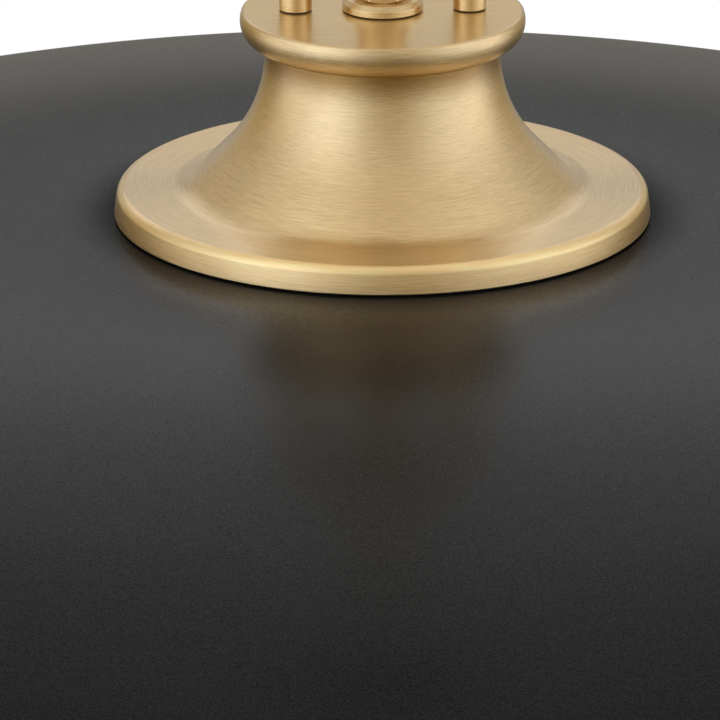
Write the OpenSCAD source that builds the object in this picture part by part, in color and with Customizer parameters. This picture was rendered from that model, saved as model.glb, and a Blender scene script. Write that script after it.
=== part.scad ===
// Dome pendant light on a rigid stem, with a brass trumpet cap and a three-lamp cluster.
// The origin is on the axis at the ceiling face of the mounting strap, and the light hangs below it.

/* [Ceiling mount] */
// Outer diameter of the canopy
canopy_d = 128; // [122:1:160]
// Height of the canopy
canopy_h = 24; // [20:1:40]
// Sheet thickness of the canopy
canopy_wall = 1.5; // [1:0.1:3]
// Outer radius of the canopy's lower corner
canopy_corner_r = 9; // [5:0.5:14]
// Length of the mounting strap
strap_l = 112; // [108:1:116]
// Width of the mounting strap
strap_w = 22; // [18:1:30]
// Thickness of the mounting strap
strap_t = 2.5; // [2:0.1:4]
// Distance between the two outlet-box screws
slot_spacing = 88.9; // [80:0.1:92]
// End-to-end length of a strap slot
slot_l = 14; // [8:0.5:16]
// Width of a strap slot
slot_w = 5; // [4:0.1:6]
// Shank diameter of the earth screw
earth_screw_d = 4; // [3:0.1:5]
// Place of the earth screw along the strap
earth_screw_x = 24; // [18:0.5:28]
// Head height of the earth screw
earth_head_h = 2.6; // [1.5:0.1:4]

/* [Threaded pipe and nuts] */
// Outer diameter of the lamp pipe
pipe_d = 10.3; // [9:0.1:12]
// Bore of the lamp pipe
pipe_bore = 6.6; // [4:0.1:7.5]
// Width across the flats of the pipe nuts
nut_af = 14.3; // [13.6:0.1:18]
// Height of the pipe nuts
nut_h = 5.2; // [3:0.1:8]
// Diameter of the chamfered washer on the disc
washer_d = 23.2; // [19:0.1:30]
// Height of the washer's upright side
washer_side = 1.9; // [1:0.1:3]
// Chamfer of the washer, equal in height and width
washer_chamfer = 1.35; // [0.5:0.05:2]
// Thickness of the seal under the washer
seal_t = 0.4; // [0.2:0.1:1]
// How far the seal stays inside the washer's edge
seal_inset = 0.9; // [0.5:0.1:3]

/* [Swivel] */
// Diameter of the spindle collar and the clevis
swivel_d = 30; // [28:0.5:40]
// Height of the spindle collar under the canopy
collar_h = 7; // [5:0.5:12]
// Diameter of the spindle that the clevis turns on
spindle_d = 13; // [12:0.1:15]
// Diameter of the spindle's threaded end
spindle_end_d = 10; // [9:0.1:11]
// Height of the clevis's bearing on the spindle
hub_h = 12; // [8:0.5:20]
// Diameter of the spindle retainer
retainer_d = 17; // [15.5:0.1:18]
// Height of the spindle retainer
retainer_h = 3.5; // [2:0.1:5]
// Width of the clevis's slot
clevis_slot = 16; // [13:0.1:18]
// Width of the clevis across its flat sides
clevis_flats = 26; // [23:0.5:27]
// Diameter of the pivot screw's shank
pivot_d = 6; // [4:0.1:8]
// Head height of the pivot screw
pivot_head_h = 3; // [2:0.1:5]
// Width across the flats of the pivot nut
pivot_nut_af = 11; // [9.5:0.1:13]
// Height of the pivot nut
pivot_nut_h = 6; // [4:0.1:8]
// Radius of the tongue round the pivot
tongue_r = 9; // [7:0.1:11]
// Room between the tongue's end and the clevis
tongue_clear = 1; // [0.5:0.1:3]
// Wall of the clevis's ears beyond the tongue's radius
ear_wall = 4; // [2:0.1:5]
// Height of the tongue between the pivot and the stem socket
tongue_neck = 17; // [16:0.5:24]
// Thickness of each pivot washer
pivot_washer_t = 0.6; // [0.4:0.1:1]

/* [Stem] */
// Outer diameter of the stem
stem_d = 12.7; // [12:0.1:15]
// Wall thickness of the stem
stem_wall = 1.5; // [1:0.1:1.8]
// Length of the upper stem
upper_stem_l = 305; // [100:5:600]
// Length of the lower stem
lower_stem_l = 152; // [80:2:400]
// Depth that a stem sits in its socket
stem_grip = 14; // [10:0.5:20]
// Outer diameter of the stem sockets
socket_d = 20; // [18:0.5:26]
// Thickness of a stem socket's floor
socket_floor = 8; // [5:0.5:14]
// Outer diameter of the stem coupling
coupling_d = 16; // [15.8:0.1:22]
// Length of the stem coupling
coupling_l = 18; // [12:1:30]

/* [Yoke] */
// Diameter of a post
post_d = 9.5; // [8:0.1:12]
// Length of a post between disc and bar
post_l = 70; // [40:1:120]
// Distance from the axis to a post
post_x = 24.8; // [22.5:0.1:26]
// Diameter of the post screws
post_screw_d = 5; // [3:0.1:5.5]
// Depth of the tapped hole in each post end
post_tap = 14; // [8:0.5:18]
// Height of the gap line at a post's foot
post_foot_h = 0.4; // [0.2:0.1:1]
// Depth of the gap line at a post's foot
post_foot_inset = 0.7; // [0.4:0.1:1.2]
// Head diameter of the screws on the bar
bar_head_d = 11; // [8:0.1:14]
// Head height of the screws on the bar
bar_head_h = 4; // [2:0.1:5]
// Head diameter of the screws under the disc
foot_head_d = 9; // [7:0.1:10]
// Head height of the screws under the disc
foot_head_h = 3.2; // [2:0.1:4]
// Width of the yoke bar
bar_w = 20; // [16:0.5:26]
// Thickness of the yoke bar
bar_t = 11; // [8:0.5:16]
// Outer diameter of the sleeve round the pipe
sleeve_d = 14; // [13.5:0.1:16]

/* [Brass cap] */
// Diameter of the flange
flange_d = 154.6; // [150:0.1:165]
// Height of the flange's upright edge, with its rounded top
edge_h = 7.9; // [6:0.1:10]
// Radius of the edge's rounded top
edge_round = 1.8; // [0.8:0.1:2.5]
// Radius of the fillet between the flange and the cone
foot_fillet = 10; // [6:0.5:12]
// Width of the cone from the flange to the throat's curve
cone_run = 10.8; // [9:0.1:12]
// Angle of the cone from upright
cone_slope = 45; // [43:0.5:47]
// Radius of the throat's curve
throat_r = 42.2; // [40:0.1:44]
// Diameter of the neck
neck_d = 67.4; // [65:0.1:70]
// Upright stretch of the neck under the collar
neck_land = 1.46; // [0.5:0.02:6]
// Radius of the rounded collar
collar_round = 7.1; // [6:0.1:9]
// Height of the flat disc above the collar's widest line
collar_top = 2.9; // [2:0.1:4]
// Wall thickness of the cap
cap_wall = 2.5; // [2:0.1:3]
// Thickness of the disc
disc_t = 3.5; // [2.5:0.1:5]
// Width of the flange's seat on the shade
flange_seat = 6; // [4:0.1:8]
// Thickness of the gasket under the flange
gasket_t = 0.4; // [0.2:0.1:2]
// How far the gasket stays inside the flange's edge
gasket_inset = 0.8; // [0.4:0.1:2]

/* [Shade] */
// Outer diameter of the skirt
shade_d = 720; // [690:1:800]
// Sheet thickness of the shade
shade_wall = 1.5; // [1:0.1:3]
// Diameter of the flat middle of the crown
crown_flat_d = 200; // [180:1:220]
// Radius of the crown's arc
crown_r = 644; // [600:1:680]
// Slope where the crown ends
crown_slope = 12; // [10:0.5:13]
// Radius of the haunch's arc
haunch_r = 300; // [260:1:340]
// Slope where the haunch ends
haunch_slope = 24; // [20:0.5:27]
// Height of the upright skirt
skirt_h = 46; // [20:1:90]
// Radius of the rolled rim
rim_r = 3.5; // [2:0.1:5]
// Diameter of the backing plate
plate_d = 150; // [148:1:180]
// Thickness of the backing plate
plate_t = 2; // [1:0.1:4]

/* [Lamp cluster] */
// Radius of the cluster ball
ball_r = 30; // [28:0.5:33]
// Wall thickness of the ball and its cover
ball_wall = 2.5; // [2:0.1:3.5]
// Height of the ball's flat seats from its middle
ball_seat = 29; // [27:0.1:29.5]
// Depth of the ball's lower opening from its middle
ball_open = 23; // [21:0.5:25]
// Side hole in the pipe for the leads
lead_hole_d = 5; // [3:0.1:6]
// Height of the finial nut
finial_h = 17; // [14:0.5:30]
// Diameter of the finial nut
finial_d = 15; // [14:0.5:20]
// Angle of a lamp from straight down
lamp_tilt = 60; // [50:1:68]
// Bearing of the first lamp
lamp_bearing = 90; // [0:5:120]
// Distance from the ball's middle to a lampholder's seat
holder_seat = 36; // [34:0.5:44]
// Outer diameter of a lampholder's boss on the ball
boss_d = 18; // [14:0.5:20]
// Bore for the leads into a lampholder
lead_bore = 8; // [5:0.5:10]

/* [Lampholder] */
// Outer diameter of a lampholder
holder_d = 36; // [35.5:0.5:42]
// Wall thickness of a lampholder's shell
holder_wall = 1.5; // [1:0.1:1.6]
// Floor thickness of a lampholder's shell
holder_floor = 2.5; // [1.5:0.1:4]
// Length of a lampholder's shell
holder_l = 39; // [37:0.5:46]
// Thickness of the insulating core's floor
core_floor = 5.5; // [4:0.1:8]
// Height of the insulating core above its floor
core_rise = 25; // [20:0.5:26]
// Wall thickness of the screw shell
screw_wall = 0.6; // [0.4:0.1:0.8]
// Diameter of the centre contact
contact_d = 9; // [6:0.1:10]
// Height of the centre contact
contact_h = 1; // [0.6:0.1:2]

/* [Lamp] */
// Diameter of the lamp's screw cap
cap_d = 26; // [25:0.1:26.4]
// Length of the screw cap without its tip
cap_l = 24.6; // [24:0.1:28]
// Length of the cap's insulated cone
cone_l = 3.6; // [2:0.1:5]
// Diameter of the contact tip
tip_d = 9; // [6:0.1:11]
// Height of the contact tip
tip_h = 2; // [1:0.1:3]
// Diameter of the bulb
bulb_d = 60; // [50:1:66]
// Length of the bulb beyond its cap
bulb_l = 83.4; // [75:0.1:100]
// Diameter of the bulb's neck
bulb_neck_d = 28; // [26.5:0.1:30]
// Straight stretch of the bulb's neck
bulb_neck_l = 4; // [2:0.5:8]
// Wall thickness of the bulb
bulb_wall = 1.2; // [0.8:0.1:2]

/* [Fits] */
// Radial clearance of a turning fit
turn_gap = 0.05; // [0.02:0.01:0.1]
// Radial clearance of a threaded joint
thread_gap = 0.05; // [0.02:0.01:0.1]
// Radial clearance of a through hole
hole_gap = 0.2; // [0.1:0.05:0.4]
// Clearance between faces that move past each other
side_gap = 0.3; // [0.2:0.05:0.5]
// Radial clearance between a lamp's cap and its screw shell
lamp_gap = 0.35; // [0.3:0.05:0.6]

/* [Hidden] */
$fn = 96;
lamp_count = 3;
// How far cuts and joined pieces run past a face
past = 1;
// Room beyond the end of a screw, pipe or rivet in its hole
end_gap = 1;
// Room round the retainer in the clevis
pocket_gap = 1;
// Border of the cap's cone round the contact tip
tip_border = 1;
// Chamfered face of a nut as a share of its flats, and the chamfer angle
nut_face = 0.97;
nut_chamfer = 30;
// Knob of the finial as a share of its top, and the height of the top
knob_share = 0.8;
knob_top_share = 0.25;
brass = "#b8935a";
black = "#2b2a29";
steel = "#a9a9a6";
white = "#efece4";
dark = "#191817";

// Levels from the ceiling down to the stem
canopy_z = -canopy_h;
collar_z = canopy_z - collar_h;
nipple_z = collar_z + end_gap;
hub_top = collar_z - side_gap;
hub_bottom = hub_top - hub_h;
retainer_top = hub_bottom - side_gap;
retainer_bottom = retainer_top - retainer_h;
slot_top = retainer_bottom - side_gap;
pivot_z = slot_top - tongue_clear - tongue_r;
ear_r = tongue_r + ear_wall;
tongue_socket_top = pivot_z - tongue_neck;
stem_top = tongue_socket_top - socket_floor;
tongue_bottom = stem_top - stem_grip;
stem_joint = stem_top - upper_stem_l;
stem_bottom = stem_joint - lower_stem_l;

// Levels of the yoke and the cap
bar_top = stem_bottom - socket_floor;
bar_bottom = bar_top - bar_t;
disc_z = bar_bottom - post_l;
washer_z = disc_z + seal_t;
washer_h = washer_side + washer_chamfer;
pipe_nut_z = washer_z + washer_h;
sleeve_z = pipe_nut_z + nut_h;
flange_r = flange_d / 2;
neck_r = neck_d / 2;
throat_x = neck_r + throat_r;
cone_top = [throat_x - throat_r * cos(cone_slope), edge_h + cone_run / tan(cone_slope)];
cone_foot_x = cone_top[0] + cone_run;
fillet_reach = foot_fillet * tan((90 - cone_slope) / 2);
throat_z = cone_top[1] + throat_r * sin(cone_slope);
collar_widest = throat_z + neck_land + collar_round;
cap_h = collar_widest + collar_top;
flange_z = disc_z - cap_h;

// Levels of the shade, and its arcs joined without a kink
shade_z = flange_z - gasket_t;
shade_r = shade_d / 2;
crown_x = crown_flat_d / 2;
crown_c = [crown_x, -crown_r];
haunch_c = crown_c + (crown_r - haunch_r) * [sin(crown_slope), cos(crown_slope)];
haunch_end = haunch_c + haunch_r * [sin(haunch_slope), cos(haunch_slope)];
shoulder_r = (shade_r - haunch_end[0]) / (1 - sin(haunch_slope));
shoulder_c = haunch_end - shoulder_r * [sin(haunch_slope), cos(haunch_slope)];
rim_z = shoulder_c[1] - skirt_h;
plate_z = shade_z - shade_wall - plate_t;
ball_z = plate_z - nut_h - ball_seat;
ball_bottom = ball_z - ball_seat;
boss_root = sqrt(pow(ball_r - ball_wall, 2) - pow(boss_d / 2, 2)) - past;
cover_r = sqrt(pow(ball_r, 2) - pow(ball_open, 2));
finial_tap = finial_h / 2;
pipe_top = stem_bottom - end_gap;
pipe_bottom = ball_bottom - finial_tap;
pipe_hole_r = pipe_d / 2 + hole_gap;
pipe_tap_r = pipe_d / 2 + thread_gap;

// Heights along a lamp's own axis, measured from the ball's middle
core_z = holder_seat + holder_floor;
contact_z = core_z + core_floor;
tip_z = contact_z + contact_h + side_gap;
cap_z = tip_z + tip_h + side_gap;
bulb_z = cap_z + cap_l;
bulb_r = bulb_d / 2;
bulb_neck_r = bulb_neck_d / 2;
bulb_c = bulb_z + bulb_l - bulb_r;
flare_z = bulb_z + bulb_neck_l;
flare_h = bulb_c - flare_z;
flare_r = (pow(bulb_neck_r, 2) + pow(flare_h, 2) - pow(bulb_r, 2)) / (2 * (bulb_r - bulb_neck_r));
flare_c = [bulb_neck_r + flare_r, flare_z];
screw_r = cap_d / 2 + lamp_gap;
core_r = holder_d / 2 - holder_wall - hole_gap;
rivet_r = lead_bore / 4;

// A ring or tube from z up by h
module ring(outer_r, inner_r, z, h) {
    translate([0, 0, z])
        difference() {
            cylinder(r = outer_r, h = h);
            translate([0, 0, -past])
                cylinder(r = inner_r, h = h + 2 * past);
        }
}

// A slice of a round band about c, between two angles
module arc_band(c, outer_r, wall, from_angle, to_angle) {
    reach = 2 * outer_r;
    translate(c)
        intersection() {
            difference() {
                circle(r = outer_r);
                circle(r = outer_r - wall);
            }
            polygon([
                [0, 0],
                reach * [cos(from_angle), sin(from_angle)],
                reach * [cos(to_angle), sin(to_angle)]
            ]);
        }
}

// A rectangle in a turned outline, from one corner to the opposite one
module slab(low, high) {
    translate(low)
        square(high - low);
}

// A hexagon nut with chamfered corners, from z up
module hex_nut(z, across, h, bore_r) {
    corner_r = across / sqrt(3);
    face_r = nut_face * across / 2;
    drop = (corner_r - face_r) * tan(nut_chamfer);
    translate([0, 0, z])
        difference() {
            intersection() {
                cylinder(r = corner_r, h = h, $fn = 6);
                rotate_extrude()
                    polygon([
                        [0, 0],
                        [face_r, 0],
                        [corner_r, drop],
                        [corner_r, h - drop],
                        [face_r, h],
                        [0, h]
                    ]);
            }
            translate([0, 0, -past])
                cylinder(r = bore_r, h = h + 2 * past);
        }
}

// A low round head with a spherical top, from z up
module domed_head(z, head_r, h) {
    dome_r = (pow(head_r, 2) + pow(h, 2)) / (2 * h);
    translate([0, 0, z])
        intersection() {
            translate([0, 0, h - dome_r])
                sphere(r = dome_r);
            cylinder(r = head_r + past, h = h + past);
        }
}

// Puts a piece at each post
module at_posts() {
    for (side = [-1, 1])
        translate([side * post_x, 0, 0])
            children();
}

// Puts a piece on a lamp's own axis, which points out of the ball
module at_lamp(i) {
    translate([0, 0, ball_z])
        rotate([0, 0, lamp_bearing + i * 360 / lamp_count])
            rotate([0, 180 - lamp_tilt, 0])
                children();
}

module mounting_strap() {
    color(steel)
        difference() {
            translate([-strap_l / 2, -strap_w / 2, -strap_t])
                cube([strap_l, strap_w, strap_t]);
            for (side = [-1, 1])
                translate([side * slot_spacing / 2, 0, -strap_t - past])
                    linear_extrude(strap_t + 2 * past)
                        strap_slot();
            translate([0, 0, -strap_t - past])
                cylinder(r = pipe_tap_r, h = strap_t + 2 * past);
            translate([earth_screw_x, 0, -strap_t - past])
                cylinder(r = earth_screw_d / 2 + thread_gap, h = strap_t + 2 * past);
        }
}

module strap_slot() {
    end_x = (slot_l - slot_w) / 2;
    for (side = [-1, 1])
        translate([side * end_x, 0])
            circle(d = slot_w);
    square([2 * end_x, slot_w], center = true);
}

module strap_nipple() {
    color(steel)
        ring(pipe_d / 2, pipe_bore / 2, nipple_z, -nipple_z);
}

module strap_locknut() {
    color(steel)
        hex_nut(-strap_t - nut_h, nut_af, nut_h, pipe_tap_r);
}

module earth_screw() {
    color("#3f7a4a")
        translate([earth_screw_x, 0, 0]) {
            translate([0, 0, -strap_t])
                cylinder(d = earth_screw_d, h = strap_t);
            rotate([180, 0, 0])
                domed_head(strap_t, earth_screw_d, earth_head_h);
        }
}

module canopy() {
    outer_r = canopy_d / 2;
    corner_c = [outer_r - canopy_corner_r, canopy_z + canopy_corner_r];
    color(brass)
        rotate_extrude() {
            slab([pipe_hole_r, canopy_z], [corner_c[0], canopy_z + canopy_wall]);
            arc_band(corner_c, canopy_corner_r, canopy_wall, -90, 0);
            slab([outer_r - canopy_wall, corner_c[1]], [outer_r, 0]);
        }
}

module swivel_spindle() {
    color(brass)
        difference() {
            union() {
                translate([0, 0, collar_z])
                    cylinder(d = swivel_d, h = collar_h);
                translate([0, 0, retainer_top])
                    cylinder(d = spindle_d, h = collar_z - retainer_top);
                translate([0, 0, retainer_bottom])
                    cylinder(d = spindle_end_d, h = retainer_h);
            }
            translate([0, 0, nipple_z])
                cylinder(r = pipe_tap_r, h = collar_h);
            translate([0, 0, retainer_bottom - past])
                cylinder(d = pipe_bore, h = -retainer_bottom);
        }
}

module spindle_retainer() {
    color(steel)
        ring(retainer_d / 2, spindle_end_d / 2 + thread_gap, retainer_bottom, retainer_h);
}

module swivel_clevis() {
    ear_bottom = pivot_z - ear_r;
    pocket_r = retainer_d / 2 + pocket_gap;
    color(brass)
        difference() {
            intersection() {
                translate([0, 0, ear_bottom])
                    cylinder(d = swivel_d, h = hub_top - ear_bottom);
                union() {
                    translate([-swivel_d, -clevis_flats / 2, pivot_z])
                        cube([2 * swivel_d, clevis_flats, hub_bottom - pivot_z]);
                    translate([-swivel_d, -swivel_d, hub_bottom])
                        cube([2 * swivel_d, 2 * swivel_d, hub_h]);
                    across_pivot(ear_r, clevis_flats);
                }
            }
            translate([0, 0, hub_bottom - past])
                cylinder(r = spindle_d / 2 + turn_gap, h = hub_h + 2 * past);
            translate([0, 0, slot_top - past])
                cylinder(r = pocket_r, h = hub_bottom - slot_top + past);
            translate([-swivel_d, -clevis_slot / 2, ear_bottom - past])
                cube([2 * swivel_d, clevis_slot, slot_top - ear_bottom + past]);
            across_pivot(pivot_d / 2 + turn_gap, swivel_d);
        }
}

// A round bar along the pivot's axis, centred on the clevis
module across_pivot(bar_r, length) {
    translate([0, 0, pivot_z])
        rotate([90, 0, 0])
            cylinder(r = bar_r, h = length, center = true);
}

module pivot_screw() {
    grip = clevis_flats + pivot_nut_h;
    color(brass)
        translate([0, -clevis_flats / 2, pivot_z])
            rotate([-90, 0, 0]) {
                cylinder(d = pivot_d, h = grip);
                rotate([180, 0, 0])
                    domed_head(0, pivot_d, pivot_head_h);
            }
}

module pivot_nut() {
    color(brass)
        translate([0, clevis_flats / 2, pivot_z])
            rotate([-90, 0, 0])
                hex_nut(0, pivot_nut_af, pivot_nut_h, pivot_d / 2 + thread_gap);
}

module pivot_washers() {
    outer_r = pivot_d;
    color(dark)
        for (side = [0, 180])
            translate([0, 0, pivot_z])
                rotate([90, 0, side])
                    ring(outer_r, pivot_d / 2 + turn_gap, clevis_slot / 2 - pivot_washer_t, pivot_washer_t);
}

module swivel_tongue() {
    width = clevis_slot - 2 * (pivot_washer_t + side_gap);
    color(brass)
        difference() {
            union() {
                across_pivot(tongue_r, width);
                translate([-tongue_r, -width / 2, tongue_socket_top - past])
                    cube([2 * tongue_r, width, tongue_neck + past]);
                translate([0, 0, tongue_bottom])
                    cylinder(d = socket_d, h = tongue_socket_top - tongue_bottom);
            }
            across_pivot(pivot_d / 2 + turn_gap, swivel_d);
            translate([0, 0, tongue_bottom - past])
                cylinder(r = stem_d / 2 + thread_gap, h = stem_grip + past);
        }
}

module upper_stem() {
    color(brass)
        ring(stem_d / 2, stem_d / 2 - stem_wall, stem_joint, upper_stem_l);
}

module stem_coupling() {
    color(brass)
        ring(coupling_d / 2, stem_d / 2 + thread_gap, stem_joint - coupling_l / 2, coupling_l);
}

module lower_stem() {
    color(brass)
        ring(stem_d / 2, stem_d / 2 - stem_wall, stem_bottom, lower_stem_l);
}

module stem_socket() {
    color(brass)
        difference() {
            translate([0, 0, bar_top])
                cylinder(d = socket_d, h = socket_floor + stem_grip);
            translate([0, 0, stem_bottom])
                cylinder(r = stem_d / 2 + thread_gap, h = stem_grip + past);
            translate([0, 0, bar_top - past])
                cylinder(r = pipe_tap_r, h = socket_floor + 2 * past);
        }
}

module yoke_bar() {
    color(brass)
        translate([0, 0, bar_bottom])
            difference() {
                linear_extrude(bar_t) {
                    at_posts()
                        circle(d = bar_w);
                    square([2 * post_x, bar_w], center = true);
                }
                translate([0, 0, -past])
                    cylinder(r = pipe_hole_r, h = bar_t + 2 * past);
                at_posts()
                    translate([0, 0, -past])
                        cylinder(r = post_screw_d / 2 + hole_gap, h = bar_t + 2 * past);
            }
}

// A post on a slightly narrower foot, tapped at both ends
module post(side) {
    foot_d = post_d - 2 * post_foot_inset;
    color(brass)
        translate([side * post_x, 0, disc_z])
            difference() {
                union() {
                    cylinder(d = foot_d, h = post_foot_h);
                    translate([0, 0, post_foot_h])
                        cylinder(d = post_d, h = post_l - post_foot_h);
                }
                translate([0, 0, -past])
                    cylinder(r = post_screw_d / 2 + thread_gap, h = post_tap + past);
                translate([0, 0, post_l - post_tap])
                    cylinder(r = post_screw_d / 2 + thread_gap, h = post_tap + past);
            }
}

module left_post() {
    post(-1);
}

module right_post() {
    post(1);
}

module bar_screws() {
    shank = bar_t + post_tap - end_gap;
    color(brass)
        at_posts() {
            translate([0, 0, bar_top - shank])
                cylinder(d = post_screw_d, h = shank);
            domed_head(bar_top, bar_head_d / 2, bar_head_h);
        }
}

module foot_screws() {
    under_disc = disc_z - disc_t;
    color(steel)
        at_posts() {
            translate([0, 0, under_disc])
                cylinder(d = post_screw_d, h = disc_t + post_tap - end_gap);
            translate([0, 0, under_disc])
                rotate([180, 0, 0])
                    domed_head(0, foot_head_d / 2, foot_head_h);
        }
}

module pipe_sleeve() {
    color(brass)
        ring(sleeve_d / 2, pipe_hole_r, sleeve_z, bar_bottom - sleeve_z);
}

module center_pipe() {
    color(steel)
        difference() {
            ring(pipe_d / 2, pipe_bore / 2, pipe_bottom, pipe_top - pipe_bottom);
            translate([0, 0, ball_z])
                rotate([90, 0, 0])
                    cylinder(d = lead_hole_d, h = 2 * pipe_d, center = true);
        }
}

module pipe_nut() {
    color(brass)
        hex_nut(pipe_nut_z, nut_af, nut_h, pipe_tap_r);
}

module pipe_washer() {
    outer_r = washer_d / 2;
    color(brass)
        translate([0, 0, washer_z])
            rotate_extrude()
                polygon([
                    [pipe_hole_r, 0],
                    [outer_r, 0],
                    [outer_r, washer_side],
                    [outer_r - washer_chamfer, washer_h],
                    [pipe_hole_r, washer_h]
                ]);
}

module washer_seal() {
    color(dark)
        ring(washer_d / 2 - seal_inset, pipe_hole_r, disc_z, seal_t);
}

// Half section of the cap's outside, with its height measured from the flange
module cap_outside() {
    edge_c = [flange_r - edge_round, edge_h - edge_round];
    fillet_c = [cone_foot_x + fillet_reach, edge_h + foot_fillet];
    square([edge_c[0], edge_h]);
    square([flange_r, edge_c[1]]);
    translate(edge_c)
        circle(r = edge_round);
    difference() {
        polygon([
            [0, 0],
            [fillet_c[0], 0],
            [fillet_c[0], edge_h],
            [cone_foot_x - fillet_reach * sin(cone_slope), edge_h + fillet_reach * cos(cone_slope)],
            cone_top,
            [neck_r, throat_z],
            [0, throat_z]
        ]);
        translate(fillet_c)
            circle(r = foot_fillet);
        translate([throat_x, throat_z])
            circle(r = throat_r);
    }
    square([neck_r, cap_h]);
    intersection() {
        translate([neck_r, collar_widest])
            circle(r = collar_round);
        square([flange_r, cap_h]);
    }
}

// Half section of the cap's hollow, open at the flange
module cap_hollow() {
    inner_r = throat_r + cap_wall;
    inner_top = [throat_x - inner_r * cos(cone_slope), throat_z - inner_r * sin(cone_slope)];
    roof_z = edge_h - cap_wall;
    difference() {
        polygon([
            [0, -past],
            [flange_r - flange_seat, -past],
            [flange_r - flange_seat, roof_z],
            [inner_top[0] + (inner_top[1] - roof_z) * tan(cone_slope), roof_z],
            inner_top,
            [neck_r - cap_wall, throat_z],
            [0, throat_z]
        ]);
        translate([throat_x, throat_z])
            circle(r = inner_r);
    }
    slab([0, -past], [neck_r - cap_wall, cap_h - disc_t]);
}

module brass_cap() {
    color(brass)
        translate([0, 0, flange_z])
            difference() {
                rotate_extrude()
                    difference() {
                        cap_outside();
                        cap_hollow();
                        square([pipe_hole_r, cap_h + past]);
                    }
                at_posts()
                    translate([0, 0, cap_h - disc_t - past])
                        cylinder(r = post_screw_d / 2 + hole_gap, h = disc_t + 2 * past);
            }
}

module flange_gasket() {
    color(dark)
        ring(flange_r - gasket_inset, flange_r - flange_seat, shade_z, gasket_t);
}

module dome_shade() {
    color(black)
        translate([0, 0, shade_z])
            rotate_extrude() {
                slab([pipe_hole_r, -shade_wall], [crown_x, 0]);
                arc_band(crown_c, crown_r, shade_wall, 90 - crown_slope, 90);
                arc_band(haunch_c, haunch_r, shade_wall, 90 - haunch_slope, 90 - crown_slope);
                arc_band(shoulder_c, shoulder_r, shade_wall, 0, 90 - haunch_slope);
                slab([shade_r - shade_wall, rim_z], [shade_r, shoulder_c[1]]);
                translate([shade_r - shade_wall + rim_r, rim_z])
                    circle(r = rim_r);
            }
}

module backing_plate() {
    color(white)
        ring(plate_d / 2, pipe_hole_r, plate_z, plate_t);
}

module shade_locknut() {
    color(steel)
        hex_nut(plate_z - nut_h, nut_af, nut_h, pipe_tap_r);
}

module cluster_ball() {
    color(black)
        difference() {
            union() {
                translate([0, 0, ball_z])
                    intersection() {
                        sphere(r = ball_r);
                        translate([0, 0, -ball_open])
                            cylinder(r = ball_r + past, h = ball_open + ball_seat);
                    }
                for (i = [0 : lamp_count - 1])
                    at_lamp(i)
                        translate([0, 0, boss_root])
                            cylinder(d = boss_d, h = holder_seat - boss_root);
            }
            translate([0, 0, ball_z])
                sphere(r = ball_r - ball_wall);
            translate([0, 0, ball_z])
                cylinder(r = pipe_hole_r, h = ball_r + past);
            translate([0, 0, ball_z - 2 * ball_r])
                cylinder(r = cover_r + hole_gap, h = 2 * ball_r - ball_open);
            for (i = [0 : lamp_count - 1])
                at_lamp(i)
                    translate([0, 0, boss_root - past])
                        cylinder(d = lead_bore, h = holder_seat);
        }
}

module cluster_cover() {
    color(black)
        translate([0, 0, ball_z])
            difference() {
                intersection() {
                    sphere(r = ball_r);
                    translate([0, 0, -ball_seat])
                        cylinder(r = ball_r + past, h = ball_seat - ball_open);
                }
                sphere(r = ball_r - ball_wall);
                translate([0, 0, -ball_r])
                    cylinder(r = pipe_hole_r, h = ball_r);
            }
}

module finial() {
    top_r = finial_d / 2;
    knob_r = knob_share * top_r;
    color(brass)
        translate([0, 0, ball_bottom])
            difference() {
                rotate_extrude()
                    intersection() {
                        union() {
                            slab([0, -knob_top_share * finial_h], [top_r, 0]);
                            slab([0, knob_r - finial_h], [knob_r, 0]);
                            translate([0, knob_r - finial_h])
                                circle(r = knob_r);
                        }
                        slab([0, -finial_h], [top_r, 0]);
                    }
                translate([0, 0, -finial_tap])
                    cylinder(r = pipe_tap_r, h = finial_tap + past);
            }
}

module holder_shell(i) {
    outer_r = holder_d / 2;
    color(brass)
        at_lamp(i)
            translate([0, 0, holder_seat])
                rotate_extrude() {
                    slab([lead_bore / 2, 0], [outer_r, holder_floor]);
                    slab([outer_r - holder_wall, 0], [outer_r, holder_l]);
                }
}

module holder_core(i) {
    bore_r = screw_r + screw_wall + thread_gap;
    color(white)
        at_lamp(i)
            translate([0, 0, core_z])
                rotate_extrude() {
                    slab([rivet_r, 0], [core_r, core_floor]);
                    slab([bore_r, 0], [core_r, core_floor + core_rise]);
                }
}

module screw_shell(i) {
    color(brass)
        at_lamp(i)
            ring(screw_r + screw_wall, screw_r, contact_z, core_rise - end_gap);
}

// A flat contact with a rivet in the core's floor
module center_contact(i) {
    rivet_h = core_floor - end_gap;
    color(brass)
        at_lamp(i)
            translate([0, 0, contact_z]) {
                cylinder(d = contact_d, h = contact_h);
                translate([0, 0, -rivet_h])
                    cylinder(r = rivet_r - thread_gap, h = rivet_h);
            }
}

module lamp_tip(i) {
    color(steel)
        at_lamp(i)
            translate([0, 0, tip_z])
                cylinder(d = tip_d, h = tip_h);
}

module lamp_cap(i) {
    cap_r = cap_d / 2;
    color(steel)
        at_lamp(i)
            translate([0, 0, cap_z])
                rotate_extrude()
                    polygon([
                        [0, 0],
                        [tip_d / 2 + tip_border, 0],
                        [cap_r, cone_l],
                        [cap_r, cap_l],
                        [0, cap_l]
                    ]);
}

// Half section of a bulb drawn in by inset: a ball that flares smoothly out of the neck
module bulb_section(inset) {
    ball_c = [0, bulb_c];
    join = ball_c + (bulb_r - inset) / (bulb_r + flare_r) * (flare_c - ball_c);
    intersection() {
        translate(ball_c)
            circle(r = bulb_r - inset);
        slab([0, join[1]], [bulb_r, bulb_c + bulb_r]);
    }
    difference() {
        slab([0, bulb_z - inset], [join[0], bulb_c]);
        translate(flare_c)
            circle(r = flare_r + inset);
    }
}

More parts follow.
